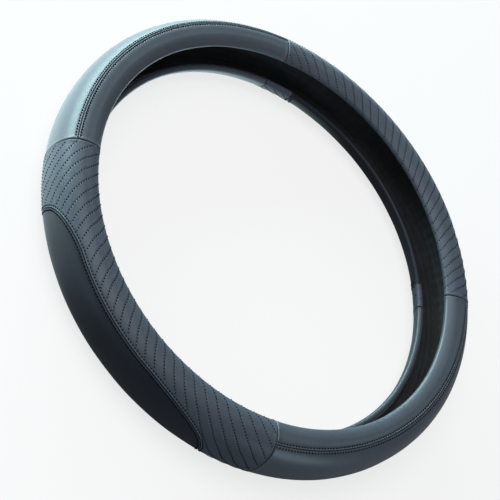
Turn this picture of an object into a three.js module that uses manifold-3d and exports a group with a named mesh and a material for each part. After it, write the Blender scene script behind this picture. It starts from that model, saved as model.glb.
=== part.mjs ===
// Steering wheel cover: a soft ring with an open C-shaped section that slips over a wheel's rim.
// Sizes are in millimetres. The ring lies on its rear side, and +Z points towards the driver.
// +Y is twelve o'clock on the ring and +X is three o'clock. The origin is the ring's centre,
// on the rest plane.
// A place on the ring is given by two angles in degrees: the ring angle goes round the ring from +X,
// and the section angle goes round the section, 0 outermost, 90 on the front crest, -90 on the rear one.

import * as THREE from "three";
import { mergeVertices } from "three/addons/utils/BufferGeometryUtils.js";
import Module from "manifold-3d";

// Ring and section
const RING_DIAMETER = 380;      // outside, over the leather
const SECTION_WIDTH = 36;       // across the section, in the plane of the ring
const SECTION_DEPTH = 49.2;     // along the ring's axis, front crest to rear crest
const ROUNDNESS = 2.33;         // 2 makes an ellipse, more makes a squarer section
const FLAT = 6;                 // half of each level band, as a section angle
const FRONT_LIP = 121;          // section angle where the front edge turns in
const REAR_LIP = -160;          // section angle where the rear edge turns in

// Layers
const LEATHER = 1.4;
const FIT_GAP = 0.3;            // between the leather and the inner ring
const CORE = 2;                 // wall of the inner ring
const HEM = 12;                 // reach of the turned-in leather, as a section angle

// Panels
const TOP_SPAN = 87;            // ring angle of the smooth top section
const BOTTOM_SPAN = 90;         // ring angle of the smooth bottom section
const SEAM_GAP = 0.5;           // open joint between two panels
const TOP_SEAM = 67;            // section angle of the seam on the front of the top section
const BOTTOM_SEAM_END = 66;     // the same at both ends of the bottom section
const BOTTOM_SEAM_RISE = 13;    // how far the bottom seam arches in towards the hub
const INSERT_TOP = 45.5;        // section angle of an insert's straight top edge
const INSERT_FLAT = 14;         // half of that edge, as a ring angle
const INSERT_SIDE = 32.6;       // half of the insert, below its rounded corners
const INSERT_CORNER = 65;       // height of a rounded corner, as a section angle
const INSERT_CURVE = 1.9;       // 2 makes the corner a quarter ellipse
const INSERT_REAR = 37;         // half of the insert at the rear lip

// Topstitching along the seams
const THREAD = 0.8;             // thickness of the thread
const THREAD_LIFT = 0.5;        // clearance under the thread
const ROW_OFFSET = 2.3;         // from the seam to each row of stitching
const ROW_END = -60;            // section angle where an insert's rows end, clear of the rest plane

// Fineness of the faces
const COLUMNS = 52;             // faces round the ring, a multiple of four
const CORNER_STEPS = 4;         // faces between two level bands

const LEATHER_COLOUR = 0x4a545f;
const INSERT_COLOUR = 0x3f4853;
const GRIP_COLOUR = 0x525c68;
const CORE_COLOUR = 0x1b1d20;
const THREAD_COLOUR = 0x16191d;

const flatShare = Math.cos(THREE.MathUtils.degToRad(FLAT)) ** (2 / ROUNDNESS);
const halfWidth = SECTION_WIDTH / 2 / flatShare;
const halfDepth = SECTION_DEPTH / 2 / flatShare;
const centreRadius = (RING_DIAMETER - SECTION_WIDTH) / 2;
const coreDepth = LEATHER + FIT_GAP;
const backDepth = coreDepth + CORE + FIT_GAP;
const jointAngle = THREE.MathUtils.radToDeg(SEAM_GAP / 2 / centreRadius);
const jointSectionAngle = THREE.MathUtils.radToDeg(SEAM_GAP / (SECTION_WIDTH + SECTION_DEPTH) * 2);
const column = 360 / COLUMNS;

// The four sewn sections, as ring angles.
const topSection = { from: 90 - TOP_SPAN / 2, to: 90 + TOP_SPAN / 2 };
const bottomSection = { from: 270 - BOTTOM_SPAN / 2, to: 270 + BOTTOM_SPAN / 2 };
const leftSection = { from: topSection.to, to: bottomSection.from };
const rightSection = { from: bottomSection.to - 360, to: topSection.from };

// The two faces of the leather: its depth below the skin, its radius round a lip, its depth on the way back.
const OUTER = { depth: 0, turn: CORE / 2 + FIT_GAP + LEATHER, back: backDepth + LEATHER };
const INNER = { depth: LEATHER, turn: CORE / 2 + FIT_GAP, back: backDepth };

const front = { angle: FRONT_LIP, sense: 1 };
const rear = { angle: REAR_LIP, sense: -1 };

// A signed power, for the rounded section.
function power(value, exponent) {
  return Math.sign(value) * Math.abs(value) ** exponent;
}

// Direction straight out of the section's surface, as (outwards, up).
function sectionNormal(angle) {
  const turn = THREE.MathUtils.degToRad(angle);
  const exponent = 2 * (ROUNDNESS - 1) / ROUNDNESS;
  const across = power(Math.cos(turn), exponent) / halfWidth;
  const along = power(Math.sin(turn), exponent) / halfDepth;
  return new THREE.Vector2(across, along).normalize();
}

// Point of the section at a depth below the skin, as (radius, height).
function sectionPoint(angle, depth) {
  const turn = THREE.MathUtils.degToRad(angle);
  const radius = centreRadius + halfWidth * power(Math.cos(turn), 2 / ROUNDNESS);
  const height = SECTION_DEPTH / 2 + halfDepth * power(Math.sin(turn), 2 / ROUNDNESS);
  return new THREE.Vector2(radius, height).addScaledVector(sectionNormal(angle), -depth);
}

// Point on a round turn about the inner ring's edge.
function turnPoint(lip, radius, swing) {
  const normal = sectionNormal(lip.angle);
  const onwards = new THREE.Vector2(-normal.y, normal.x).multiplyScalar(lip.sense);
  const turn = THREE.MathUtils.degToRad(swing);
  return sectionPoint(lip.angle, coreDepth + CORE / 2)
    .addScaledVector(normal, radius * Math.cos(turn))
    .addScaledVector(onwards, radius * Math.sin(turn));
}

// Section point carried round the ring.
function onRing(point, ringAngle) {
  const turn = THREE.MathUtils.degToRad(ringAngle);
  return new THREE.Vector3(point.x * Math.cos(turn), point.x * Math.sin(turn), point.y);
}

// Section angles from one end to the other: the ends, and every standard bend between them.
function stations(from, to) {
  const bends = [];
  for (let quarter = -3; quarter < 3; quarter += 1) {
    for (let step = 0; step <= CORNER_STEPS; step += 1) {
      bends.push(quarter * 90 + FLAT + step * (90 - 2 * FLAT) / CORNER_STEPS);
    }
  }
  const low = Math.min(from, to) + 1;
  const high = Math.max(from, to) - 1;
  const between = bends.filter((angle) => angle > low && angle < high);
  const sorted = [low - 1, ...between, high + 1];
  return from < to ? sorted : sorted.reverse();
}

// Way of one leather face along the section to a lip, round the lip and back inside.
function hemmedPath(face, angles, lip) {
  const along = angles.map((angle) => sectionPoint(angle, face.depth));
  const round = [45, 90, 135].map((swing) => turnPoint(lip, face.turn, swing));
  const back = [0, HEM].map((reach) => sectionPoint(lip.angle - lip.sense * reach, face.back));
  return [...along, ...round, ...back];
}

// Strip of triangles between two lines of points, which may differ in number.
function strip(first, second, triangles) {
  let a = 0;
  let b = 0;
  while (a < first.length - 1 || b < second.length - 1) {
    const aShare = (a + 1) / (first.length - 1);
    const bShare = (b + 1) / (second.length - 1);
    if (b === second.length - 1 || (a < first.length - 1 && aShare <= bShare)) {
      triangles.push(first[a], first[a + 1], second[b]);
      a += 1;
    } else {
      triangles.push(first[a], second[b + 1], second[b]);
      b += 1;
    }
  }
}

// Closed solid between an outer and an inner grid of points, each a list of columns.
function solidBetween(outer, inner) {
  const triangles = [];
  for (let column = 1; column < outer.length; column += 1) {
    strip(outer[column - 1], outer[column], triangles);
  }
  for (let column = 1; column < inner.length; column += 1) {
    strip(inner[column], inner[column - 1], triangles);
  }
  const last = (grid) => grid[grid.length - 1];
  strip(inner[0], outer[0], triangles);
  strip(last(outer), last(inner), triangles);
  strip(outer.map((line) => line[0]), inner.map((line) => line[0]), triangles);
  strip(inner.map((line) => last(line)), outer.map((line) => last(line)), triangles);
  return merged(new THREE.BufferGeometry().setFromPoints(triangles));
}

// The same surface with its shared points joined, facing out.
function merged(geometry) {
  const shape = geometry.clone();
  shape.deleteAttribute("normal");
  shape.deleteAttribute("uv");
  const joined = mergeVertices(shape, 1e-4);
  if (volumeOf(joined) < 0) {
    joined.setIndex(Array.from(joined.index.array).reverse());
  }
  return joined;
}

function volumeOf(geometry) {
  const points = geometry.getAttribute("position");
  const corner = (place) => new THREE.Vector3().fromBufferAttribute(points, geometry.index.getX(place));
  let sum = 0;
  for (let place = 0; place < geometry.index.count; place += 3) {
    sum += corner(place).dot(corner(place + 1).cross(corner(place + 2))) / 6;
  }
  return sum;
}

// Ring angles of the face edges along one section, a joint short of it at both ends.
function columnsAlong(section) {
  const first = section.from + jointAngle;
  const last = section.to - jointAngle;
  const inside = Array.from({ length: 2 * COLUMNS }, (_, step) => (step - COLUMNS / 2 + 0.5) * column);
  return [first, ...inside.filter((angle) => angle > first + 0.5 && angle < last - 0.5), last];
}

// Place along a section, from -1 at its start to 1 at its end.
function shareAlong(section, ringAngle) {
  return (2 * ringAngle - section.from - section.to) / (section.to - section.from);
}

// Smooth panel between a seam and a lip.
function smoothPanel(section, seamAt, lip) {
  const grid = (face) => columnsAlong(section).map((ringAngle) => {
    const edge = seamAt(shareAlong(section, ringAngle)) + lip.sense * jointSectionAngle;
    return hemmedPath(face, panelAngles(edge, seamAt, lip), lip)
      .map((point) => onRing(point, ringAngle));
  });
  return solidBetween(grid(OUTER), grid(INNER));
}

// Section angles of a smooth panel: two even steps next to the seam, then the standard bends.
function panelAngles(edge, seamAt, lip) {
  const reach = [seamAt(0), seamAt(1)];
  const steady = lip.sense > 0 ? Math.max(...reach) + 1 : Math.min(...reach) - 1;
  const [, ...rest] = stations(steady, lip.angle);
  return [edge, (edge + rest[0]) / 2, ...rest];
}

// Half of an insert at a section angle, as a ring angle.
function insertHalf(angle) {
  const shoulder = INSERT_TOP - INSERT_CORNER;
  if (angle < shoulder) {
    return INSERT_SIDE + (INSERT_REAR - INSERT_SIDE) * (shoulder - angle) / (shoulder - REAR_LIP);
  }
  const share = Math.min(1, (angle - shoulder) / INSERT_CORNER);
  return INSERT_FLAT + (INSERT_SIDE - INSERT_FLAT) * (1 - share ** INSERT_CURVE) ** (1 / INSERT_CURVE);
}

// Section angles down an insert, closer together in its rounded corners.
function insertAngles(top) {
  const corner = [0, 1, 3, 6.5, 12, 20, 30, 42].map((drop) => top - drop);
  return [...corner, top - INSERT_CORNER, REAR_LIP];
}

// Block with an insert's outline, larger all round by a clearance, through the whole wall and past the lip.
function insertBlock(middle, clearance) {
  const ringClearance = clearance * jointAngle;
  const sectionClearance = clearance * jointSectionAngle;
  const reach = OUTER.back + LEATHER;
  const steps = Math.ceil(2 * INSERT_REAR / column);
  const rows = insertAngles(INSERT_TOP).map((angle) => [angle + sectionClearance, insertHalf(angle)]);
  rows.splice(-1, 0, ...[-45, -90, -125].map((angle) => [angle, insertHalf(angle)]));
  rows.push([REAR_LIP - 2 * HEM, INSERT_REAR]);
  const grid = (depth) => Array.from({ length: steps + 1 }, (_, step) => rows.map(([angle, half]) => {
    const across = (half + ringClearance) * (2 * step / steps - 1);
    return onRing(sectionPoint(angle, depth), middle + across);
  }));
  return solidBetween(grid(-reach), grid(reach));
}

// Plain sleeve over one section, from its front hem right round to its rear hem.
function sleeve(section) {
  const grid = (face) => {
    const frontHem = hemmedPath(face, [FRONT_LIP], front).slice(1).reverse();
    const path = [...frontHem, ...hemmedPath(face, stations(FRONT_LIP, REAR_LIP), rear)];
    return columnsAlong(section).map((ringAngle) => path.map((point) => onRing(point, ringAngle)));
  };
  return solidBetween(grid(OUTER), grid(INNER));
}

const wasm = await Module();
wasm.setup();

function toSolid(geometry) {
  const vertProperties = new Float32Array(geometry.getAttribute("position").array);
  const triVerts = new Uint32Array(geometry.index.array);
  return new wasm.Manifold(new wasm.Mesh({ numProp: 3, vertProperties, triVerts }));
}

function toGeometry(solid) {
  const mesh = solid.getMesh();
  const geometry = new THREE.BufferGeometry();
  geometry.setAttribute("position", new THREE.BufferAttribute(mesh.vertProperties, 3));
  geometry.setIndex(new THREE.BufferAttribute(mesh.triVerts, 1));
  return geometry;
}

// Grip: the sleeve with its insert's place cut out.
function gripPanel(section, middle) {
  return toGeometry(toSolid(sleeve(section)).subtract(toSolid(insertBlock(middle, 1))));
}

// Insert on the outer side of a grip, from its straight top edge round to the rear lip.
function insertPanel(section, middle) {
  return toGeometry(toSolid(sleeve(section)).intersect(toSolid(insertBlock(middle, -1))));
}

// Inner ring: one closed C-shaped profile turned about the axis.
function innerRing() {
  const profile = [];
  stations(REAR_LIP, FRONT_LIP).forEach((angle) => profile.push(sectionPoint(angle, coreDepth)));
  [60, 120].forEach((swing) => profile.push(turnPoint(front, CORE / 2, swing)));
  stations(FRONT_LIP, REAR_LIP).forEach((angle) => profile.push(sectionPoint(angle, coreDepth + CORE)));
  [120, 60].forEach((swing) => profile.push(turnPoint(rear, CORE / 2, swing)));
  profile.push(profile[0].clone());
  const start = THREE.MathUtils.degToRad(column / 2);
  const ring = new THREE.LatheGeometry(profile, Math.round(360 / column), start, 2 * Math.PI);
  ring.rotateX(Math.PI / 2);
  return merged(ring);
}

// One row of topstitching: a thin thread that follows a line of (section angle, ring angle) places.
function threadAlong(places) {
  const lift = THREAD_LIFT + THREAD / 2;
  const points = places.map(([angle, ringAngle]) => onRing(sectionPoint(angle, -lift), ringAngle));
  const half = THREAD / 2;
  const outline = new THREE.Shape();
  outline.moveTo(half, 0);
  outline.lineTo(0, half);
  outline.lineTo(-half, 0);
  outline.lineTo(0, -half);
  outline.closePath();
  const extrudePath = new THREE.CatmullRomCurve3(points);
  return new THREE.ExtrudeGeometry(outline, { steps: points.length - 1, extrudePath });
}

// Length of the section's skin per degree of section angle.
function sectionRate(angle) {
  return sectionPoint(angle - 0.5, 0).distanceTo(sectionPoint(angle + 0.5, 0));
}

// Thread beside a smooth panel's seam, on its front side or its rear side.
function seamThread(section, seamAt, side) {
  const steps = Math.round(2 * (section.to - section.from) / column);
  return threadAlong(Array.from({ length: steps + 1 }, (_, step) => {
    const share = step / steps;
    const ringAngle = THREE.MathUtils.lerp(section.from + 2 * jointAngle, section.to - 2 * jointAngle, share);
    const seam = seamAt(shareAlong(section, ringAngle));
    return [seam + side * ROW_OFFSET / sectionRate(seam), ringAngle];
  }));
}

// Thread round an insert, outside its border or inside it, up one side, along the top and down the other.
function insertThread(middle, side) {
  const down = insertAngles(INSERT_TOP).slice(0, -1);
  const shoulder = INSERT_TOP - INSERT_CORNER;
  down.push(...[0.25, 0.5, 0.75, 1].map((share) => THREE.MathUtils.lerp(shoulder, ROW_END, share)));
  const half = down.map((angle) => [angle, insertHalf(angle)]);
  const top = [-INSERT_FLAT / 2, 0, INSERT_FLAT / 2].map((ringAngle) => [INSERT_TOP, ringAngle]);
  const border = [...half.map(([angle, ring]) => [angle, -ring]).reverse(), ...top, ...half];
  const ringRate = THREE.MathUtils.degToRad(RING_DIAMETER / 2);
  const heightRate = sectionRate(INSERT_TOP);
  return threadAlong(border.map(([angle, ringAngle], place) => {
    const before = border[Math.max(0, place - 1)];
    const after = border[Math.min(border.length - 1, place + 1)];
    const along = new THREE.Vector2((after[1] - before[1]) * ringRate, (after[0] - before[0]) * heightRate);
    along.normalize().multiplyScalar(side * ROW_OFFSET);
    return [angle + along.x / heightRate, middle + ringAngle - along.y / ringRate];
  }));
}

const topSeam = () => TOP_SEAM;
const bottomSeam = (share) => BOTTOM_SEAM_END + BOTTOM_SEAM_RISE * Math.cos(Math.PI / 2 * share);

const cover = new THREE.Group();

function addPiece(name, geometry, color, roughness) {
  const material = new THREE.MeshStandardMaterial({ color, roughness, metalness: 0 });
  const mesh = new THREE.Mesh(geometry, material);
  mesh.name = name;
  cover.add(mesh);
}

addPiece("inner_ring", innerRing(), CORE_COLOUR, 0.85);

addPiece("top_front_panel", smoothPanel(topSection, topSeam, front), LEATHER_COLOUR, 0.5);
addPiece("top_rear_panel", smoothPanel(topSection, topSeam, rear), LEATHER_COLOUR, 0.5);
addPiece("bottom_front_panel", smoothPanel(bottomSection, bottomSeam, front), LEATHER_COLOUR, 0.5);
addPiece("bottom_rear_panel", smoothPanel(bottomSection, bottomSeam, rear), LEATHER_COLOUR, 0.5);

addPiece("left_grip_panel", gripPanel(leftSection, 180), GRIP_COLOUR, 0.6);
addPiece("right_grip_panel", gripPanel(rightSection, 0), GRIP_COLOUR, 0.6);
addPiece("left_insert_panel", insertPanel(leftSection, 180), INSERT_COLOUR, 0.5);
addPiece("right_insert_panel", insertPanel(rightSection, 0), INSERT_COLOUR, 0.5);

addPiece("top_thread_front", seamThread(topSection, topSeam, 1), THREAD_COLOUR, 0.7);
addPiece("top_thread_rear", seamThread(topSection, topSeam, -1), THREAD_COLOUR, 0.7);
addPiece("bottom_thread_front", seamThread(bottomSection, bottomSeam, 1), THREAD_COLOUR, 0.7);
addPiece("bottom_thread_rear", seamThread(bottomSection, bottomSeam, -1), THREAD_COLOUR, 0.7);
addPiece("left_thread_outer", insertThread(180, 1), THREAD_COLOUR, 0.7);
addPiece("left_thread_inner", insertThread(180, -1), THREAD_COLOUR, 0.7);
addPiece("right_thread_outer", insertThread(0, 1), THREAD_COLOUR, 0.7);
addPiece("right_thread_inner", insertThread(0, -1), THREAD_COLOUR, 0.7);

export default cover;
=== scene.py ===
import math

import bpy
import numpy as np
from mathutils import Matrix, Vector

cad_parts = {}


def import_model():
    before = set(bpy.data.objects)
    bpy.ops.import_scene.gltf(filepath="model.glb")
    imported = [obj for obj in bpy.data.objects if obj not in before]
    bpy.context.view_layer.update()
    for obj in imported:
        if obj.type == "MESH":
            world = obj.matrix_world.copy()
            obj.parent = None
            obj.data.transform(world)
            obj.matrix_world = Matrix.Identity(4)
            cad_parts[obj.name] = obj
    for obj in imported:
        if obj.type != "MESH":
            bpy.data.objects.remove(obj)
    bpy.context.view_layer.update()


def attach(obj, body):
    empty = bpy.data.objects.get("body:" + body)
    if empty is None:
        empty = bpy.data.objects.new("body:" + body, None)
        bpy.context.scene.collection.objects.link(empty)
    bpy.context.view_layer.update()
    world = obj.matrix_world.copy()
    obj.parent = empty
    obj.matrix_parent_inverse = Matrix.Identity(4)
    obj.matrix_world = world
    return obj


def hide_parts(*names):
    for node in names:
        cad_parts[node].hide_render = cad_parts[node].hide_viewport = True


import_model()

# Sizes are in millimetres and angles in degrees. A place on the leather is a ring angle, counted from
# three o'clock, and a way along the section in millimetres, counted from the outermost line.
MM = 0.001
RING_DIAMETER = 380.0           # outside, over the leather
SECTION_WIDTH = 36.0            # across the section, in the plane of the ring
SECTION_DEPTH = 49.2            # along the ring's axis, front crest to rear crest
ROUNDNESS = 2.33                # 2 makes an ellipse, more makes a squarer section
FLAT = 6.0                      # half of each level band, as a section angle
FRONT_LIP = 121.0               # section angle where the front edge turns in
REAR_LIP = -160.0               # section angle where the rear edge turns in
LEATHER = 1.4
FIT_GAP = 0.3                   # between the leather and the inner ring
CORE = 2.0                      # wall of the inner ring
HEM = 12.0                      # reach of the turned-in leather, as a section angle
TOP_SPAN = 87.0                 # ring angle of the smooth top section, and of the bottom one
BOTTOM_SPAN = 90.0
JOINT = 0.24                    # between the edges of two panels
TOP_SEAM = dict(end=66.0, rise=3.0)        # section angle of a crest seam at its ends, and its rise between
BOTTOM_SEAM = dict(end=66.0, rise=13.7)
INSERT_REAR = 37.0              # half of an insert at the rear lip, as a ring angle
SHOULDER = -19.5                # section angle where an insert's corners begin
# An insert's two corners, first and last around the ring: where the border's top ends, as section angle
# and ring angle from the middle, the half width at the shoulder, and how full the corner is.
FIRST_CORNER = dict(top=49.5, flat=18.0, side=32.6, curve=1.7)
LAST_CORNER = dict(top=45.0, flat=10.0, side=31.8, curve=1.75)

ROW_OFFSET = 1.85               # from a seam to its rows of stitching
SWELL_OFFSET = 0.85             # from a seam to the crest of its folded edge
SEAM_STITCH = dict(pitch=2.55, length=1.4, radius=0.5)
CHANNEL_STITCH = dict(pitch=2.33, length=1.15, radius=0.48)

flat_share = math.cos(math.radians(FLAT)) ** (2 / ROUNDNESS)
half_width = SECTION_WIDTH / 2 / flat_share
half_depth = SECTION_DEPTH / 2 / flat_share
centre_radius = (RING_DIAMETER - SECTION_WIDTH) / 2
core_depth = LEATHER + FIT_GAP
back_depth = core_depth + CORE + FIT_GAP
joint_angle = math.degrees(JOINT / 2 / centre_radius)
per_ring_degree = math.radians(centre_radius)       # millimetres along the ring's centre line

TOP = (90 - TOP_SPAN / 2, 90 + TOP_SPAN / 2)
BOTTOM = (270 - BOTTOM_SPAN / 2, 270 + BOTTOM_SPAN / 2)
LEFT = (TOP[1], BOTTOM[0])
RIGHT = (BOTTOM[1] - 360, TOP[0])


# The section and the way along it

def power(value, exponent):
    return np.sign(value) * np.abs(value) ** exponent


def section(angle, depth=0.0):
    """Points and outward directions of the section, each as (radius, height), at a depth below the skin."""
    turn = np.radians(angle)
    share = 2 / ROUNDNESS
    point = np.stack([centre_radius + half_width * power(np.cos(turn), share),
                      SECTION_DEPTH / 2 + half_depth * power(np.sin(turn), share)], -1)
    point[..., 1] = np.clip(point[..., 1], 0, SECTION_DEPTH)
    out = np.stack([power(np.cos(turn), 2 - share) / half_width,
                    power(np.sin(turn), 2 - share) / half_depth], -1)
    out /= np.linalg.norm(out, axis=-1, keepdims=True)
    return point - depth * out, out


def turn_round(lip, sense, radius, swings):
    """Round turn about the inner ring's edge."""
    centre, out = section(np.array(lip), core_depth + CORE / 2)
    onwards = sense * np.array([-out[1], out[0]])
    swing = np.radians(swings)[:, None]
    away = np.cos(swing) * out + np.sin(swing) * onwards
    return centre + radius * away, away


SKIN_POINTS = 1161              # on the skin, in a hem and round a lip
HEM_POINTS = 25
TURN_POINTS = 41
PAST_LIP = 0.4                  # way to a degree of section angle, past the lips


def whole_way():
    """The leather's outer face from the rear hem's end over the skin to the front hem's end."""
    skin = np.linspace(REAR_LIP, FRONT_LIP, SKIN_POINTS)
    turn_radius = CORE / 2 + FIT_GAP + LEATHER
    rear_hem = np.linspace(REAR_LIP + HEM, REAR_LIP, HEM_POINTS)
    front_hem = np.linspace(FRONT_LIP, FRONT_LIP - HEM, HEM_POINTS)
    swings = np.linspace(0, 180, TURN_POINTS)[1:-1]
    pieces = []
    point, out = section(rear_hem, back_depth + LEATHER)
    pieces.append((point, -out))
    pieces.append(turn_round(REAR_LIP, -1, turn_radius, swings[::-1]))
    pieces.append(section(skin))
    pieces.append(turn_round(FRONT_LIP, 1, turn_radius, swings))
    point, out = section(front_hem, back_depth + LEATHER)
    pieces.append((point, -out))
    points = np.concatenate([p for p, _ in pieces])
    outs = np.concatenate([o for _, o in pieces])
    run = np.concatenate([[0], np.cumsum(np.linalg.norm(np.diff(points, axis=0), axis=1))])
    start = len(pieces[0][0]) + len(pieces[1][0])
    skin_run = run[start:start + len(skin)]
    zero = np.interp(0.0, skin, skin_run)
    return run - zero, points, outs, skin, skin_run - zero


WAY, WAY_POINT, WAY_OUT, SKIN_ANGLE, SKIN_WAY = whole_way()
REAR_END, FRONT_END = WAY[0], WAY[-1]
REAR_TURN, FRONT_TURN = SKIN_WAY[0], SKIN_WAY[-1]


def way_at(angle):
    return np.interp(angle, SKIN_ANGLE, SKIN_WAY)


def angle_at(way):
    """Section angle of a way, which goes on evenly past the lips."""
    inside = np.interp(way, SKIN_WAY, SKIN_ANGLE)
    return inside + (np.maximum(way - FRONT_TURN, 0) + np.minimum(way - REAR_TURN, 0)) / PAST_LIP


def radius_at(way):
    return np.interp(way, WAY, WAY_POINT[:, 0])


def place(ring, way, height):
    """Points in metres, and outward directions, of places on the leather."""
    r = np.interp(way, WAY, WAY_POINT[:, 0])
    z = np.interp(way, WAY, WAY_POINT[:, 1])
    nr = np.interp(way, WAY, WAY_OUT[:, 0])
    nz = np.interp(way, WAY, WAY_OUT[:, 1])
    turn = np.radians(ring)
    c, s = np.cos(turn), np.sin(turn)
    out = np.stack([nr * c, nr * s, nz + 0 * c], -1)
    point = np.stack([r * c, r * s, z + 0 * c], -1) + out * np.asarray(height)[..., None]
    return point * MM, out


# Heights of the leather over its plain skin

# The swells and dips beside a seam, each as height, distance from the seam and width. At a stitched seam
# the edge rolls in, the folded edge swells, the stitches pull down, and the leather rises again.
STITCHED_EDGE = ((-0.6, 0.0, 0.25), (0.48, SWELL_OFFSET, 0.42), (-0.16, ROW_OFFSET, 0.45), (0.08, 3.4, 1.4))
PLAIN_EDGE = ((-0.75, 0.0, 0.42), (0.22, 1.4, 1.1))
# The unevenness: its height, its number of waves for each panel, and as a least value and a range each
# how many waves there are round the ring, their phase to a millimetre of the way, and their share of the
# height.
UNEVENNESS = 0.022
WAVES = 6
WAVES_ROUND = (6, 26)
WAVES_ACROSS = (0.02, 0.09)
WAVE_SHARE = (0.3, 1.0)


def hump(distance, width):
    return np.exp(-(distance / width) ** 2)


def step_up(value, low, high):
    share = np.clip((value - low) / (high - low), 0, 1)
    return share * share * (3 - 2 * share)


def edge_height(distance, swells):
    return sum(height * hump(distance - offset, width) for height, offset, width in swells)


def within(limits, share):
    least, reach = limits
    return least + reach * share


def unevenness(ring, way, seed):
    """Slow, slight rise and fall of leather that is pulled over by hand."""
    waves = np.random.default_rng(seed).uniform(0, 1, (WAVES, 4))
    total = 0.0
    for around, across, shift, size in waves:
        phase = (np.radians(ring) * within(WAVES_ROUND, around) + way * within(WAVES_ACROSS, across)
                 + 2 * math.pi * shift)
        total = total + within(WAVE_SHARE, size) * np.sin(phase)
    return UNEVENNESS * total


# Meshes

SHARP = 55.0                    # angle between faces that keeps an edge sharp
FAR = 50.0                      # stands for a distance from a seam that isn't near
INNER_STEP = 4                  # the inner face of a sheet has every fourth line of the outer one
END_REACH = 3.0                 # beside a plain seam the columns are close together, over this reach
END_STEP = 0.25


def finish_mesh(name, points, faces, values):
    """Mesh piece, pressed level where it would go below the rest plane."""
    points = np.array(points)
    points[:, 2] = np.maximum(points[:, 2], 0)
    mesh = bpy.data.meshes.new(name)
    mesh.from_pydata(points.tolist(), [], faces)
    mesh.update()
    for label, data in values.items():
        layer = mesh.attributes.new(label, "FLOAT", "POINT")
        layer.data.foreach_set("value", np.ascontiguousarray(data, dtype=np.float32))
    mesh.shade_smooth()
    mesh.set_sharp_from_angle(angle=math.radians(SHARP))
    piece = bpy.data.objects.new(name, mesh)
    bpy.context.scene.collection.objects.link(piece)
    return piece


def coarse(count):
    return np.unique(np.append(np.arange(0, count, INNER_STEP), count - 1))


def quads(corners):
    return np.stack(corners, -1).reshape(-1, 4).tolist()


def leather_sheet(name, ring, way, height, values):
    """Closed sheet of leather: a fine outer face, a coarser inner face and rims between them."""
    n, m = ring.shape
    outer, _ = place(ring, way, height)
    ci, cj = coarse(n), coarse(m)
    inner, _ = place(ring[np.ix_(ci, cj)], way[np.ix_(ci, cj)], np.full((len(ci), len(cj)), -LEATHER))
    index = np.arange(n * m).reshape(n, m)
    low = n * m + np.arange(len(ci) * len(cj)).reshape(len(ci), len(cj))
    faces = quads([index[:-1, :-1], index[1:, :-1], index[1:, 1:], index[:-1, 1:]])
    faces += quads([low[:-1, :-1], low[:-1, 1:], low[1:, 1:], low[1:, :-1]])

    def rim(fine, rough, kept, flip):
        for k in range(len(kept) - 1):
            line = fine[kept[k]:kept[k + 1] + 1].tolist() + [int(rough[k + 1]), int(rough[k])]
            faces.append(line[::-1] if flip else line)

    rim(index[0], low[0], cj, False)
    rim(index[-1], low[-1], cj, True)
    rim(index[:, 0], low[:, 0], ci, True)
    rim(index[:, -1], low[:, -1], ci, False)
    points = np.concatenate([outer.reshape(-1, 3), inner.reshape(-1, 3)])
    rest = len(ci) * len(cj)
    padded = {label: np.concatenate([np.broadcast_to(data, (n, m)).ravel(), np.full(rest, FAR)])
              for label, data in values.items()}
    return finish_mesh(name, points, faces, padded)


def spread(length, near, fine, rough):
    """Distances from 0 to a length: fine steps near both ends, rough ones between."""
    edge = np.linspace(0, near, int(round(near / fine)) + 1)
    middle = np.linspace(near, length - near, int(math.ceil((length - 2 * near) / rough)) + 1)
    return np.concatenate([edge, middle[1:-1], length - edge[::-1]])


def ring_columns(span, rough):
    """Ring angles across a section, close together at both plain seams."""
    first, last = span[0] + joint_angle, span[1] - joint_angle
    length = (last - first) * per_ring_degree
    return first + spread(length, END_REACH, END_STEP, rough) / per_ring_degree


def rows_from(edge, end, near, count):
    """Ways from each column's edge to its end: fine rows beside the edge, even ones from there."""
    sense = np.sign(end - edge)[:, None]
    close = edge[:, None] + sense * near[None, :]
    share = np.linspace(0, 1, count + 1)[1:]
    far = close[:, -1:] + (end[:, None] - close[:, -1:]) * share[None, :]
    return np.concatenate([close, far], axis=1)


# Distances of the fine rows from a stitched edge.
NEAR = np.concatenate([np.arange(0, 2.9, 0.21), np.arange(3.1, 6.1, 0.5)])


# Smooth top and bottom panels

SMOOTH_STEP = 1.6               # between columns
FRONT_ROWS = 50                 # beyond the fine rows, of a panel before its seam and behind it
REAR_ROWS = 96


def crest_seam(seam, span):
    def way(ring):
        share = (2 * ring - span[0] - span[1]) / (span[1] - span[0])
        return way_at(seam["end"] + seam["rise"] * np.cos(math.pi / 2 * share))
    return way


top_seam = crest_seam(TOP_SEAM, TOP)
bottom_seam = crest_seam(BOTTOM_SEAM, BOTTOM)


def ends_distance(ring, way, span):
    """Distance from the nearer plain seam of a section."""
    per_degree = np.radians(radius_at(way))
    return np.minimum(ring - span[0], span[1] - ring) * per_degree


def smooth_panel(name, span, seam_of, side, seed):
    """Panel on the front side (1) or the rear side (-1) of a section's seam."""
    to_front = side > 0
    columns = ring_columns(span, SMOOTH_STEP)
    seam = seam_of(columns)
    end = np.full_like(columns, FRONT_END if to_front else REAR_END)
    way = rows_from(seam + side * JOINT / 2, end, NEAR, FRONT_ROWS if to_front else REAR_ROWS)
    if not to_front:
        way = way[:, ::-1]
    ring = np.broadcast_to(columns[:, None], way.shape)
    from_seam = np.abs(way - seam[:, None])
    from_end = ends_distance(ring, way, span)
    height = (edge_height(from_seam, STITCHED_EDGE) + edge_height(from_end, PLAIN_EDGE)
              + unevenness(ring, way, seed))
    along = (ring - span[0]) * per_ring_degree
    values = {"seam": from_seam, "seam_along": along, "joint": from_end}
    return leather_sheet(name, ring, way, height, values)


# Inserts on the outer side of the grips, and their borders

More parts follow.
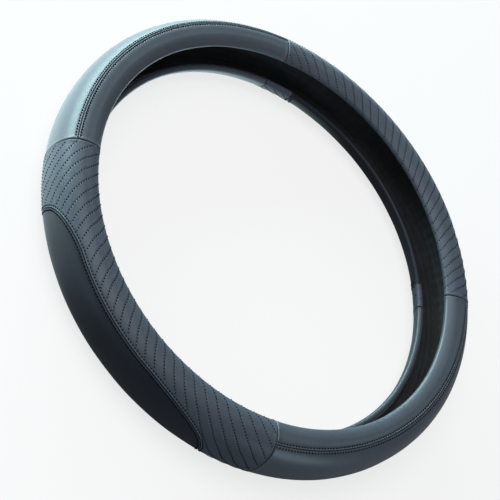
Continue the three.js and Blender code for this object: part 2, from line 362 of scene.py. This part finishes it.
EDGE_POINTS = 2400              # of each corner, to read the border's angle from
CORNER_POINTS = 400             # of the border's line: in a corner, along a side, along the top
SIDE_POINTS = 260
TOP_POINTS = 120
BORDER_STEP = 0.5
BLOCK = 8000                    # places measured at a time
INSERT_ROWS = 92                # beyond the fine rows
# Columns of an insert as shares of its width: the reach of the fine ones, their step and the others' step.
INSERT_SHARES = (0.03, 0.0022, 0.0085)


def insert_half(angle, corner):
    """Half of an insert on one corner's side, at a section angle, as a ring angle."""
    low = np.clip((SHOULDER - angle) / (SHOULDER - REAR_LIP), 0, 1)
    share = np.clip((angle - SHOULDER) / (corner["top"] - SHOULDER), 0, 1)
    round_ = (1 - share ** corner["curve"]) ** (1 / corner["curve"])
    upper = corner["flat"] + (corner["side"] - corner["flat"]) * round_
    return np.where(angle < SHOULDER, corner["side"] + (INSERT_REAR - corner["side"]) * low, upper)


def insert_edge(offset):
    """Section angle of an insert's border at a ring angle from its middle, and the rear lip's beside it."""
    angles, halves = [], []
    for corner, sense in ((FIRST_CORNER, -1), (LAST_CORNER, 1)):
        down = np.linspace(corner["top"], REAR_LIP, EDGE_POINTS)
        angles.append(down[::sense])
        halves.append((sense * insert_half(down, corner))[::sense])
    return np.interp(offset, np.concatenate(halves), np.concatenate(angles))


def border_line():
    """The border's places from one rear lip over the top to the other, as offsets and ways, evenly spaced."""
    sides = []
    for corner, sense in ((FIRST_CORNER, -1), (LAST_CORNER, 1)):
        down = corner["top"] - (corner["top"] - SHOULDER) * np.linspace(0, 1, CORNER_POINTS) ** 2
        down = np.concatenate([down, np.linspace(SHOULDER, REAR_LIP, SIDE_POINTS)[1:]])
        sides.append((sense * insert_half(down, corner), way_at(down)))
    across = np.linspace(0, 1, TOP_POINTS)[1:-1]
    top = sides[0][0][0] + (sides[1][0][0] - sides[0][0][0]) * across
    top_way = sides[0][1][0] + (sides[1][1][0] - sides[0][1][0]) * across
    offset = np.concatenate([sides[0][0][::-1], top, sides[1][0]])
    way = np.concatenate([sides[0][1][::-1], top_way, sides[1][1]])
    step = np.hypot(np.diff(offset) * np.radians(radius_at(way[1:])), np.diff(way))
    run = np.concatenate([[0], np.cumsum(step)])
    even = np.linspace(0, run[-1], int(run[-1] / BORDER_STEP) + 1)
    return np.interp(even, run, offset), np.interp(even, run, way), even


BORDER = border_line()


def from_border(offset, way):
    """Distance of each place from the insert's border, and how far along the border it is."""
    b_offset, b_way, b_run = BORDER
    line = place(b_offset, b_way, np.zeros_like(b_offset))[0] / MM
    points = place(offset.ravel(), way.ravel(), np.zeros(offset.size))[0] / MM
    distance = np.empty(len(points))
    along = np.empty(len(points))
    for start in range(0, len(points), BLOCK):
        block = points[start:start + BLOCK]
        gap = ((block ** 2).sum(1)[:, None] + (line ** 2).sum(1)[None, :] - 2 * block @ line.T)
        nearest = np.clip(np.argmin(gap, axis=1), 1, len(line) - 2)
        a, b = line[nearest - 1], line[nearest + 1]
        chord = b - a
        share = np.clip(((block - a) * chord).sum(1) / (chord ** 2).sum(1), 0, 1)
        distance[start:start + BLOCK] = np.linalg.norm(block - a - share[:, None] * chord, axis=1)
        along[start:start + BLOCK] = b_run[nearest - 1] + share * (b_run[nearest + 1] - b_run[nearest - 1])
    return distance.reshape(offset.shape), along.reshape(offset.shape)


def insert_panel(name, middle, seed):
    tops = [way_at(corner["top"]) - JOINT / 2 for corner in (FIRST_CORNER, LAST_CORNER)]
    near = 1 - NEAR[::-1] / (tops[0] - REAR_END)
    shares = np.concatenate([np.linspace(0, near[0], INSERT_ROWS)[:-1], near])
    ways = [REAR_END + (top - REAR_END) * shares for top in tops]
    first = -insert_half(angle_at(ways[0]), FIRST_CORNER) + joint_angle
    last = insert_half(angle_at(ways[1]), LAST_CORNER) - joint_angle
    steps = spread(1.0, *INSERT_SHARES)[:, None]
    offset = first + (last - first) * steps
    way = ways[0] + (ways[1] - ways[0]) * steps
    distance, along = from_border(offset, way)
    height = edge_height(distance, STITCHED_EDGE) + unevenness(offset + middle, way, seed)
    values = {"seam": distance, "seam_along": along, "joint": np.full_like(distance, FAR)}
    return leather_sheet(name, offset + middle, way, height, values)


# Grips with sewn channels

GRIPS = {
    "left": dict(middle=180.0, span=LEFT, grip_seed=5, insert_seed=7),
    "right": dict(middle=0.0, span=RIGHT, grip_seed=6, insert_seed=8),
}
GRIP_STEP = 0.55                # between columns
GRIP_ROWS = 138                 # beyond the fine rows
# The channel lines at the front crest: the first one's ring angle from the grip's middle, their pitch and
# number, how they gather towards the middle and to one side, and the share of the pitch that is square to
# them. Then the relief, in millimetres: its depth, the reach of its slope from a line, the swell beside it
# as height, distance and width, its rise over the plain skin, and where it fades in beside a border.
CHANNELS = dict(first=-48.1, pitch=3.08, lines=29, gather=2.05, skew=0.75, across=0.84, depth=0.1,
                valley=(0.25, 1.2), swell=(0.15, 1.5, 0.7), rise=0.1, fade=(2.6, 4.6))
# How the lines run over the section: ring degrees to a section degree in front of the bend and behind it,
# and how they turn and spread more on the outer side, from the high angle on, evenly below the low one.
LEAN = dict(front=0.095, side=0.115, bend=60, turn=0.052, spread=0.00066, high=35, low=5)
CHANNEL_SLANT = 1.18            # length along a channel line to the way that it crosses
SPARE = 16                      # lines counted on past each end, for the slanted parts on the sides
EASE = dict(border=0.6, end=2.0)        # lets the relief start nearer a border or a plain seam
LEG_GAP = 1.5                   # from an insert to a grip's legs at the rear lip, in half joints


def line_starts():
    """Numbers of the channel lines, and their ring angles at the front crest from the grip's middle."""
    number = np.arange(-SPARE, CHANNELS["lines"] + SPARE)
    share = np.clip(number / CHANNELS["lines"], 0, 1)
    start = (CHANNELS["first"] + CHANNELS["pitch"] * number - CHANNELS["gather"] * np.sin(math.pi * share)
             + CHANNELS["skew"] * np.sin(2 * math.pi * share))
    return number, start


def lean(angle):
    """How far a line has moved along the ring at a section angle, and how much the lines have spread."""
    bend, high, low = LEAN["bend"], LEAN["high"], LEAN["low"]
    moved = LEAN["front"] * (90 - np.maximum(angle, bend)) + LEAN["side"] * (bend - np.minimum(angle, bend))
    ramp = (high - angle) ** 2 / (2 * (high - low))
    outer = np.where(angle > high, 0, np.where(angle > low, ramp, (high + low) / 2 - angle))
    return moved + LEAN["turn"] * outer, 1 + LEAN["spread"] * outer


def channel_number(offset, way):
    """Number of the channel line at a place, with its fraction between two lines."""
    number, start = line_starts()
    moved, widened = lean(angle_at(way))
    return np.interp((offset - moved) / widened, start, number)


def channel_height(offset, way, border):
    """Number of the channel line at a place, and the height of the channels' relief there."""
    number = channel_number(offset, way)
    angle = angle_at(way)
    gap = CHANNELS["pitch"] * lean(angle)[1] * np.radians(radius_at(way)) * CHANNELS["across"]
    distance = np.abs(number - np.round(number)) * gap
    depth = CHANNELS["depth"] * step_up(border, *CHANNELS["fade"])
    swell, from_line, width = CHANNELS["swell"]
    relief = step_up(distance, *CHANNELS["valley"]) - 1 + swell * hump(distance - from_line, width)
    return number, depth * relief + CHANNELS["rise"]


def grip_panel(name, grip):
    middle, span = grip["middle"], grip["span"]
    columns = ring_columns(span, GRIP_STEP) - middle
    edge = way_at(insert_edge(columns)) + JOINT / 2
    edge = np.where(np.abs(columns) > INSERT_REAR + LEG_GAP * joint_angle, REAR_END, edge)
    way = rows_from(edge, np.full_like(columns, FRONT_END), NEAR, GRIP_ROWS)
    offset = np.broadcast_to(columns[:, None], way.shape)
    border, along = from_border(offset, way)
    ends = ends_distance(offset + middle, way, span)
    clear = np.minimum(border + EASE["border"], ends + EASE["end"])
    number, channels = channel_height(offset, way, clear)
    height = (edge_height(border, STITCHED_EDGE) + edge_height(ends, PLAIN_EDGE) + channels
              + unevenness(offset + middle, way, grip["grip_seed"]))
    values = {"seam": border, "seam_along": along, "joint": ends, "channel": number,
              "channel_along": way * CHANNEL_SLANT}
    return leather_sheet(name, offset + middle, way, height, values)


# Stitches

STITCH_LIFT = 0.55              # of a stitch's middle over the leather, as a share of its radius
STITCH_DIP = 1.3                # of its ends below its middle
STITCH_TIP = 0.25               # thickness at its ends
CHANNEL_SINK = 0.06             # of the channels' stitches below the plain skin, besides the relief's depth
ROW_POINTS = 400
ROW_END = 2.2                   # from a plain seam to the end of a crest seam's rows, in half joints
CHANNEL_POINTS = 500
PAST_REAR = 2.0                 # how far the channel lines go on behind the rear lip and past the front lip
PAST_FRONT = 3.0
KEPT_REAR = 1.0                 # and how far their stitches are kept behind the rear lip
CHANNEL_CLEAR = 2.9             # from a border to the channels' stitches, and from a plain seam
CHANNEL_END = 1.3
LEAST_POINTS = 20               # of a channel line inside the grip, for it to be sewn
DIRECTION_STEP = 0.5            # to both sides of a place, for a row's direction there


def stitch_template(length, radius):
    """One stitch along x, z up: a short cord whose ends dip into the leather."""
    sides, rings = 7, 7
    points, faces = [], []
    for k in range(rings):
        x = -1 + 2 * k / (rings - 1)
        thick = radius * max(STITCH_TIP, (1 - abs(x) ** 3.5) ** 0.5)
        middle = STITCH_LIFT * radius - STITCH_DIP * radius * abs(x) ** 3
        for j in range(sides):
            turn = 2 * math.pi * j / sides
            points.append((x * length / 2, thick * math.cos(turn), middle + thick * math.sin(turn)))
    for k in range(rings - 1):
        for j in range(sides):
            a, b = k * sides + j, k * sides + (j + 1) % sides
            faces.append((a, a + sides, b + sides, b))
    faces.append(tuple(range(sides)))
    faces.append(tuple(reversed(range((rings - 1) * sides, rings * sides))))
    return np.array(points), faces


def sample_row(ring, way, height, pitch):
    """Places a pitch apart along a row, with the direction of the row and of the skin at each."""
    points, _ = place(ring, way, height)
    run = np.concatenate([[0], np.cumsum(np.linalg.norm(np.diff(points, axis=0), axis=1))]) / MM
    at = np.arange(pitch * 0.5, run[-1] - pitch * 0.4, pitch)
    if len(at) == 0:
        return None
    pick = lambda data, where: np.interp(where, run, data)
    here, out = place(pick(ring, at), pick(way, at), pick(height, at))
    back, on = at - DIRECTION_STEP, at + DIRECTION_STEP
    before, _ = place(pick(ring, back), pick(way, back), pick(height, back))
    after, _ = place(pick(ring, on), pick(way, on), pick(height, on))
    along = after - before
    along -= (along * out).sum(-1, keepdims=True) * out
    along /= np.linalg.norm(along, axis=-1, keepdims=True)
    return here, along, out, pick(ring, at), pick(way, at)


def stitches(name, rows, kind, keep=None):
    """One piece of all the stitches along the rows, which are (ring, way, height) lines."""
    template, template_faces = stitch_template(kind["length"], kind["radius"])
    points, faces = [], []
    total = 0
    for ring, way, height in rows:
        found = sample_row(ring, way, height, kind["pitch"])
        if found is None:
            continue
        here, along, out, at_ring, at_way = found
        if keep is not None:
            wanted = keep(at_ring, at_way)
            here, along, out = here[wanted], along[wanted], out[wanted]
        side = np.cross(out, along)
        block = (here[:, None, :] + MM * (template[None, :, 0:1] * along[:, None, :]
                                          + template[None, :, 1:2] * side[:, None, :]
                                          + template[None, :, 2:3] * out[:, None, :]))
        points.append(block.reshape(-1, 3))
        for k in range(len(here)):
            base = total + k * len(template)
            faces.extend([tuple(base + v for v in face) for face in template_faces])
        total += len(here) * len(template)
    return finish_mesh(name, np.concatenate(points), faces, {})


ROW_HEIGHT = float(edge_height(np.array(ROW_OFFSET), STITCHED_EDGE))


def seam_row(span, seam_of, side):
    """Row beside a smooth section's seam, in front of it (1) or behind it (-1)."""
    ring = np.linspace(span[0] + ROW_END * joint_angle, span[1] - ROW_END * joint_angle, ROW_POINTS)
    way = seam_of(ring) + side * ROW_OFFSET
    return ring, way, np.full_like(ring, ROW_HEIGHT)


def border_row(middle, side):
    """Row beside an insert's border, outside it (1) or inside it (-1), down to both rear lips."""
    offset, way, _ = BORDER
    scale = np.radians(radius_at(way))
    along = np.stack([np.gradient(offset) * scale, np.gradient(way)], -1)
    along /= np.linalg.norm(along, axis=-1, keepdims=True)
    ring = offset - side * ROW_OFFSET * along[:, 1] / scale
    way = way + side * ROW_OFFSET * along[:, 0]
    fits = way > REAR_TURN
    ring, way = ring[fits], way[fits]
    return middle + ring, way, np.full_like(ring, ROW_HEIGHT)


def channel_rows(grip):
    """The channel lines of a grip, from behind the rear lip to beyond the front lip."""
    way = np.linspace(REAR_TURN - PAST_REAR, FRONT_TURN + PAST_FRONT, CHANNEL_POINTS)
    moved, widened = lean(angle_at(way))
    _, starts = line_starts()
    rows = []
    for start in starts:
        offset = start * widened + moved
        inside = (offset + grip["middle"] > grip["span"][0]) & (offset + grip["middle"] < grip["span"][1])
        if inside.sum() > LEAST_POINTS:
            sunk = np.full(inside.sum(), -CHANNEL_SINK - CHANNELS["depth"])
            rows.append((offset[inside] + grip["middle"], way[inside], sunk))
    return rows


def channel_keep(grip):
    """Which of the channels' stitches stay: those on the grip, clear of its border and seams."""
    def keep(ring, way):
        offset = ring - grip["middle"]
        above = way > way_at(insert_edge(offset))
        outside = np.where(np.abs(offset) < INSERT_REAR, above, True)
        border, _ = from_border(offset, way)
        ends = ends_distance(ring, way, grip["span"])
        return outside & (border > CHANNEL_CLEAR) & (ends > CHANNEL_END) & (way > REAR_TURN - KEPT_REAR)
    return keep


# Inner ring

RING_COLUMNS = 660
OUTSIDE_POINTS = 30             # of the section: on its outside, on its inside, round a lip
INSIDE_POINTS = 72
LIP_POINTS = 9
# The raised pattern: waves round the ring, pitch across it, height, how steep and how far apart its knobs
# are, and where it fades in from the lips.
PATTERN = dict(waves=66, pitch=9.0, height=0.7, steep=2.4, apart=0.5, fade=(7, 11))


def inner_ring(name):
    """Moulded rubber ring: plain outside, with a raised anti-slip pattern in its channel."""
    swings = np.linspace(0, 180, LIP_POINTS)[1:-1]
    outer_angles = np.linspace(REAR_LIP, FRONT_LIP, OUTSIDE_POINTS)
    inner_angles = np.linspace(FRONT_LIP, REAR_LIP, INSIDE_POINTS)
    outside, _ = section(outer_angles, core_depth)
    front, _ = turn_round(FRONT_LIP, 1, CORE / 2, swings)
    inside, out = section(inner_angles, core_depth + CORE)
    rear, _ = turn_round(REAR_LIP, -1, CORE / 2, swings[::-1])
    count = RING_COLUMNS
    ring = np.arange(count) * 360 / count
    run = np.concatenate([[0], np.cumsum(np.linalg.norm(np.diff(inside, axis=0), axis=1))])
    across = np.sin(np.radians(ring * PATTERN["waves"]))[:, None]
    along = np.sin(run * 2 * math.pi / PATTERN["pitch"])[None, :]
    fade = step_up(run, *PATTERN["fade"]) * step_up(run[-1] - run, *PATTERN["fade"])
    knobs = np.clip(np.abs(across * along) * PATTERN["steep"] - PATTERN["apart"], 0, 1)
    relief = PATTERN["height"] * knobs * fade[None, :]
    profile = np.concatenate([outside, front, inside, rear])
    turn = np.radians(ring)[:, None]
    radius = np.broadcast_to(profile[:, 0][None, :], (count, len(profile))).copy()
    height = np.broadcast_to(profile[:, 1][None, :], (count, len(profile))).copy()
    first = len(outside) + len(front)
    radius[:, first:first + len(inside)] -= relief * out[:, 0][None, :]
    height[:, first:first + len(inside)] -= relief * out[:, 1][None, :]
    points = np.stack([radius * np.cos(turn), radius * np.sin(turn), height], -1) * MM
    index = np.arange(count * len(profile)).reshape(count, len(profile))
    after = np.roll(index, -1, axis=0)
    faces = quads([index, after, np.roll(after, -1, axis=1), np.roll(index, -1, axis=1)])
    return finish_mesh(name, points.reshape(-1, 3), faces, {})


# Materials

GAP_SHADE = (0.42, 0.42, 0.44, 1)           # darkens the leather where two panels meet
RIDGE_HIGHLIGHT_WIDTH = 0.45              # of the painted highlight on the folded edge, in millimetres
GAP_WIDTH = 0.3
PULL_WIDTH = 0.8                # of the pull beside a seam's stitches, and as a share of the channels' pitch
CHANNEL_PULL = 0.1375
GROOVE_WIDTH = 0.09             # of the crease under a channel's stitches, as a share of the pitch
CALM = 3.2                      # distance from a seam within which the channels fade
GRAIN_CELLS = 1500.0            # scale of the grain, and of the noise that bends its lines
GRAIN_WARP = 900.0
GRAIN_SHIFT = (0.0006, 0.0006, 0.0006)      # how far they are bent, in metres
GRAIN_LEVEL = 0.32              # above this the grain's cells are flat, and how softly they get there
GRAIN_SOFTNESS = 0.2
MOTTLE = ((0.3, 0.84), (0.7, 1.16))         # the leather's tone against its noise
MOTTLE_SOFT = 0.45              # share of the finer noise in it
ROUGH_CLOUD = 0.16              # how much the roughness changes with the coarse noise, and with the fine one
ROUGH_SOFT = 0.14


class Nodes:
    """Short names for making a material's nodes."""

    def __init__(self, name):
        self.material = bpy.data.materials.new(name)
        self.material.use_nodes = True
        self.tree = self.material.node_tree
        self.tree.nodes.clear()

    def new(self, kind, **settings):
        node = self.tree.nodes.new(kind)
        for key, value in settings.items():
            setattr(node, key, value)
        return node

    def link(self, source, target):
        self.tree.links.new(source, target)

    def surface(self):
        """The material's main shader, and the place on the object."""
        shader = self.new("ShaderNodeBsdfPrincipled")
        self.link(shader.outputs[0], self.new("ShaderNodeOutputMaterial").inputs[0])
        return shader, self.new("ShaderNodeTexCoord").outputs["Object"]

    def put(self, socket, value):
        if isinstance(value, bpy.types.NodeSocket):
            self.link(value, socket)
        else:
            socket.default_value = value

    def math(self, operation, a, b=None, c=None):
        node = self.new("ShaderNodeMath", operation=operation)
        for place_, value in enumerate((a, b, c)):
            if value is not None:
                self.put(node.inputs[place_], value)
        return node.outputs[0]

    def attribute(self, name):
        return self.new("ShaderNodeAttribute", attribute_name=name).outputs["Fac"]

    def tones(self, value, colour, stops):
        """Darker and lighter tones of a colour, with the value: each stop as value and gain."""
        node = self.new("ShaderNodeValToRGB")
        self.put(node.inputs[0], value)
        for element, (position, gain) in zip(node.color_ramp.elements, stops):
            element.position = position
            element.color = (*(gain * c for c in colour), 1)
        return node.outputs[0]

    def noise(self, vector, scale, detail, roughness):
        node = self.new("ShaderNodeTexNoise")
        self.link(vector, node.inputs["Vector"])
        node.inputs["Scale"].default_value = scale
        node.inputs["Detail"].default_value = detail
        node.inputs["Roughness"].default_value = roughness
        return node.outputs["Fac"]

    def tint(self, share, colour, other, blend="MULTIPLY"):
        """A colour, changed by the other colour where the share is 1."""
        node = self.new("ShaderNodeMix", data_type="RGBA", blend_type=blend)
        self.put(node.inputs["Factor"], share)
        self.put(node.inputs["A"], colour)
        self.put(node.inputs["B"], other)
        return node.outputs["Result"]

    def bell(self, value, width):
        squared = self.math("POWER", self.math("DIVIDE", value, width), 2.0)
        return self.math("EXPONENT", self.math("MULTIPLY", squared, -1.0))

    def bump(self, height, strength, distance, normal=None):
        node = self.new("ShaderNodeBump")
        node.inputs["Strength"].default_value = strength
        node.inputs["Distance"].default_value = distance
        self.link(height, node.inputs["Height"])
        if normal is not None:
            self.link(normal, node.inputs["Normal"])
        return node.outputs[0]


def leather_material(name, colour, roughness, grain, shine, ridge_highlight_gain, channels=False):
    """Fine-grained soft leather with a painted highlight on the folded edges at its seams, pulled in at each
    stitch.
    """
    n = Nodes(name)
    shader, where = n.surface()

    cells = n.new("ShaderNodeTexVoronoi", feature="DISTANCE_TO_EDGE")
    cells.inputs["Scale"].default_value = GRAIN_CELLS
    cells.inputs["Randomness"].default_value = 1.0
    warp = n.new("ShaderNodeTexNoise")
    n.link(where, warp.inputs["Vector"])
    warp.inputs["Scale"].default_value = GRAIN_WARP
    mixed = n.new("ShaderNodeVectorMath", operation="MULTIPLY_ADD")
    n.link(warp.outputs["Color"], mixed.inputs[0])
    mixed.inputs[1].default_value = GRAIN_SHIFT
    n.link(where, mixed.inputs[2])
    n.link(mixed.outputs[0], cells.inputs["Vector"])
    crease = n.math("SMOOTH_MIN", cells.outputs["Distance"], GRAIN_LEVEL, GRAIN_SOFTNESS)
    soft = n.noise(where, scale=420.0, detail=4.0, roughness=0.6)
    slow = n.noise(where, scale=26.0, detail=3.0, roughness=0.5)
    cloud = n.noise(where, scale=7.0, detail=2.0, roughness=0.5)

    mottle = n.math("ADD", n.math("MULTIPLY", soft, MOTTLE_SOFT), n.math("MULTIPLY", slow, 1 - MOTTLE_SOFT))
    base = n.tones(mottle, colour, MOTTLE)
    seam = n.attribute("seam")
    joint = n.attribute("joint")
    # painted highlight: the base colour is lightened on the folded edges beside a seam, as if they caught the
    # light
    swell = n.bell(n.math("SUBTRACT", seam, SWELL_OFFSET), RIDGE_HIGHLIGHT_WIDTH)
    base = n.tint(swell, base, (ridge_highlight_gain, ridge_highlight_gain, ridge_highlight_gain, 1))
    gap = n.math("MAXIMUM", n.bell(seam, GAP_WIDTH), n.bell(joint, GAP_WIDTH))
    n.link(n.tint(gap, base, GAP_SHADE), shader.inputs["Base Color"])

    rough = n.math("ADD", n.math("MULTIPLY", n.math("SUBTRACT", cloud, 0.5), ROUGH_CLOUD),
                   n.math("MULTIPLY", n.math("SUBTRACT", soft, 0.5), ROUGH_SOFT))
    n.link(n.math("ADD", rough, roughness), shader.inputs["Roughness"])

    fine = n.bump(crease, strength=0.55, distance=grain)
    fine = n.bump(soft, strength=0.3, distance=0.00016, normal=fine)
    pull = n.math("COSINE", n.math("MULTIPLY", n.attribute("seam_along"), 2 * math.pi / SEAM_STITCH["pitch"]))
    row = n.bell(n.math("SUBTRACT", seam, ROW_OFFSET), PULL_WIDTH)
    fine = n.bump(n.math("MULTIPLY", pull, row), strength=0.4, distance=0.00007, normal=fine)
    if channels:
        number = n.attribute("channel")
        wave = n.math("ABSOLUTE", n.math("SUBTRACT", number, n.math("ROUND", number)))
        row = n.bell(wave, CHANNEL_PULL)
        pull = n.math("COSINE", n.math("MULTIPLY", n.attribute("channel_along"),
                                       2 * math.pi / CHANNEL_STITCH["pitch"]))
        away = n.math("SUBTRACT", 1.0, n.bell(seam, CALM))
        pulled = n.math("MULTIPLY", n.math("MULTIPLY", pull, row), away)
        fine = n.bump(pulled, strength=0.5, distance=0.0001, normal=fine)
        groove = n.math("MULTIPLY", n.bell(wave, GROOVE_WIDTH), away)
        fine = n.bump(n.math("MULTIPLY", groove, -1.0), strength=0.45, distance=0.0003, normal=fine)
    n.link(fine, shader.inputs["Normal"])
    shader.inputs["Specular IOR Level"].default_value = shine
    shader.inputs["Sheen Weight"].default_value = 0.3 * shine
    shader.inputs["Sheen Roughness"].default_value = 0.4
    return n.material


def thread_material(name, colour):
    """Twisted sewing thread."""
    n = Nodes(name)
    shader, where = n.surface()
    twist = n.noise(where, scale=3200.0, detail=2.0, roughness=0.6)
    n.link(n.tones(twist, colour, ((0.3, 0.6), (0.7, 1.5))), shader.inputs["Base Color"])
    n.link(n.bump(twist, strength=0.6, distance=0.00012), shader.inputs["Normal"])
    shader.inputs["Roughness"].default_value = 0.85
    shader.inputs["Specular IOR Level"].default_value = 0.08
    return n.material


def rubber_material(name, colour):
    """Matt moulded rubber."""
    n = Nodes(name)
    shader, where = n.surface()
    grit = n.noise(where, scale=1400.0, detail=3.0, roughness=0.6)
    dust = n.noise(where, scale=60.0, detail=4.0, roughness=0.6)
    n.link(n.tones(dust, colour, ((0.3, 0.8), (0.75, 1.35))), shader.inputs["Base Color"])
    n.link(n.math("ADD", n.math("MULTIPLY", grit, 0.2), 0.6), shader.inputs["Roughness"])
    n.link(n.bump(grit, strength=0.4, distance=0.0001), shader.inputs["Normal"])
    return n.material


SMOOTH_COLOUR = (0.049, 0.064, 0.088)
GRIP_COLOUR = (0.065, 0.083, 0.112)
# painted shade: the inserts' leather is set far darker than the grips', for their side that faces away from
# the light
INSERT_SHADED_COLOUR = (0.018, 0.022, 0.033)
THREAD_COLOUR = (0.002, 0.003, 0.005)
RUBBER_COLOUR = (0.040, 0.043, 0.047)

smooth_leather = leather_material("smooth_leather", SMOOTH_COLOUR, roughness=0.44, grain=0.00005, shine=0.85,
                                  ridge_highlight_gain=1.25)
grip_leather = leather_material("grip_leather", GRIP_COLOUR, roughness=0.5, grain=0.00008, shine=0.45,
                                ridge_highlight_gain=1.2, channels=True)
# painted shade: the inserts get the darkened colour
insert_leather = leather_material("insert_leather", INSERT_SHADED_COLOUR, roughness=0.43, grain=0.00005, shine=0.24,
                                  ridge_highlight_gain=2.8)
thread = thread_material("thread", THREAD_COLOUR)
rubber = rubber_material("core_rubber", RUBBER_COLOUR)


def dress(piece, node, material):
    piece.data.materials.append(material)
    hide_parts(node)
    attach(piece, "root")
    return piece


SECTIONS = (("top", TOP, top_seam), ("bottom", BOTTOM, bottom_seam))
SIDES = (("front", 1), ("rear", -1))

ring_piece = dress(inner_ring("rubber_ring"), "inner_ring", rubber)
panels = []
for label, span, seam_of in SECTIONS:
    for word, side in SIDES:
        piece = smooth_panel(f"{label}_{word}_leather", span, seam_of, side, seed=len(panels) + 1)
        panels.append(dress(piece, f"{label}_{word}_panel", smooth_leather))
for label, grip in GRIPS.items():
    piece = grip_panel(f"{label}_grip_leather", grip)
    panels.append(dress(piece, f"{label}_grip_panel", grip_leather))
for label, grip in GRIPS.items():
    piece = insert_panel(f"{label}_insert_leather", grip["middle"], grip["insert_seed"])
    panels.append(dress(piece, f"{label}_insert_panel", insert_leather))

for label, span, seam_of in SECTIONS:
    for word, side in SIDES:
        piece = stitches(f"{label}_stitches_{word}", [seam_row(span, seam_of, side)], SEAM_STITCH)
        dress(piece, f"{label}_thread_{word}", thread)
for label, grip in GRIPS.items():
    for word, side in (("outer", 1), ("inner", -1)):
        piece = stitches(f"{label}_stitches_{word}", [border_row(grip["middle"], side)], SEAM_STITCH)
        dress(piece, f"{label}_thread_{word}", thread)
    piece = stitches(f"{label}_channel_stitches", channel_rows(grip), CHANNEL_STITCH, channel_keep(grip))
    piece.data.materials.append(thread)
    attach(piece, "root")


# Floor, light and camera, in metres

FLOOR_SIZE = 6.0
FLOOR_GREY = (0.22, 0.22, 0.22, 1)
FLOOR_LIFT = 0.77               # what the floor adds of its own, as seen by the camera
# And a painted pool of light, seen only in reflections: from one Y to another it rises from the first
# strength to the second, in this tint.
FLOOR_POOL = {"From Min": 0.02, "From Max": 0.17, "To Min": 0.04, "To Max": 2.5}
POOL_LIGHT_TINT = (0.74, 0.97, 1.0, 1)
WHITE = (1, 1, 1, 1)
SKY_LIGHT = 0.15                # strength of the world as light, and as seen by the camera
SKY_SEEN = 1.0


def floor():
    size = FLOOR_SIZE
    mesh = bpy.data.meshes.new("floor")
    corners = [(-size, -size, 0), (size, -size, 0), (size, size, 0), (-size, size, 0)]
    mesh.from_pydata(corners, [], [(0, 1, 2, 3)])
    piece = bpy.data.objects.new("floor", mesh)
    bpy.context.scene.collection.objects.link(piece)
    n = Nodes("pale_floor")
    output = n.new("ShaderNodeOutputMaterial")
    diffuse = n.new("ShaderNodeBsdfDiffuse")
    diffuse.inputs["Color"].default_value = FLOOR_GREY
    glow = n.new("ShaderNodeEmission")
    path = n.new("ShaderNodeLightPath")
    where = n.new("ShaderNodeSeparateXYZ")
    n.link(n.new("ShaderNodeTexCoord").outputs["Object"], where.inputs[0])
    # painted pool of light: the floor glows for reflected rays only, rising towards +Y
    pool = n.new("ShaderNodeMapRange", interpolation_type="SMOOTHSTEP")
    n.link(where.outputs["Y"], pool.inputs["Value"])
    for socket, value in FLOOR_POOL.items():
        pool.inputs[socket].default_value = value
    mirrored = n.math("MAXIMUM", path.outputs["Is Glossy Ray"], path.outputs["Is Transmission Ray"])
    n.link(n.math("ADD", n.math("MULTIPLY", path.outputs["Is Camera Ray"], FLOOR_LIFT),
                  n.math("MULTIPLY", mirrored, pool.outputs["Result"])), glow.inputs["Strength"])
    n.link(n.tint(mirrored, WHITE, POOL_LIGHT_TINT, blend="MIX"), glow.inputs["Color"])
    add = n.new("ShaderNodeAddShader")
    n.link(diffuse.outputs[0], add.inputs[0])
    n.link(glow.outputs[0], add.inputs[1])
    n.link(add.outputs[0], output.inputs[0])
    mesh.materials.append(n.material)


LAMPS = {
    "back_softbox": dict(spot=(0.45, 1.85, 0.38), aim=(0, 0, 0.02), size=(2.9, 0.7), watts=88,
                         colour=(0.68, 0.97, 1.0)),
    "top_softbox": dict(spot=(-0.3, 0.6, 2.0), aim=(0, 0, 0), size=(1.6, 1.6), watts=23, colour=(1, 1, 1)),
    "front_softbox": dict(spot=(-0.4, -1.9, 0.4), aim=(0, 0, 0.02), size=(0.8, 0.6), watts=6,
                          colour=(0.6, 0.86, 1.0)),
}


def lamp(name, spot, aim, size, watts, colour):
    data = bpy.data.lights.new(name, "AREA")
    data.shape = "RECTANGLE"
    data.size, data.size_y = size
    data.energy = watts
    data.color = colour
    piece = bpy.data.objects.new(name, data)
    piece.location = spot
    piece.rotation_euler = (Vector(aim) - Vector(spot)).to_track_quat("-Z", "Y").to_euler()
    bpy.context.scene.collection.objects.link(piece)


CAMERA_DISTANCE = 1.2625        # from the ring's centre


def camera():
    """The photograph's view, fitted to the ring's outline and its seams."""
    back = Vector((-0.70169834, -0.04588022, 0.71099539))
    right = Vector((0.6102708, -0.55369487, 0.56656115))
    up = Vector((0.36768055, 0.83145474, 0.41652613))
    data = bpy.data.cameras.new("camera")
    data.sensor_width = 36.0
    data.lens = 117.8
    data.shift_x = -0.0358
    data.shift_y = -0.0187
    data.clip_end = 50
    piece = bpy.data.objects.new("camera", data)
    spot = Vector((0, 0, SECTION_DEPTH / 2 * MM)) + CAMERA_DISTANCE * back
    turn = Matrix((right, up, back)).transposed().to_4x4()
    piece.matrix_world = Matrix.Translation(spot) @ turn
    bpy.context.scene.collection.objects.link(piece)
    bpy.context.scene.camera = piece


def world():
    """Plain white round the object: bright to the camera, faint as light."""
    made = bpy.data.worlds.new("world")
    bpy.context.scene.world = made
    made.use_nodes = True
    nodes, links = made.node_tree.nodes, made.node_tree.links
    sky = nodes["Background"]
    sky.inputs["Color"].default_value = WHITE
    seen = nodes.new("ShaderNodeLightPath")
    strength = nodes.new("ShaderNodeMapRange")
    strength.inputs["To Min"].default_value = SKY_LIGHT
    strength.inputs["To Max"].default_value = SKY_SEEN
    links.new(seen.outputs["Is Camera Ray"], strength.inputs["Value"])
    links.new(strength.outputs["Result"], sky.inputs["Strength"])


floor()
for name, settings in LAMPS.items():
    lamp(name, **settings)
camera()
world()
bpy.context.scene.view_settings.view_transform = "Standard"
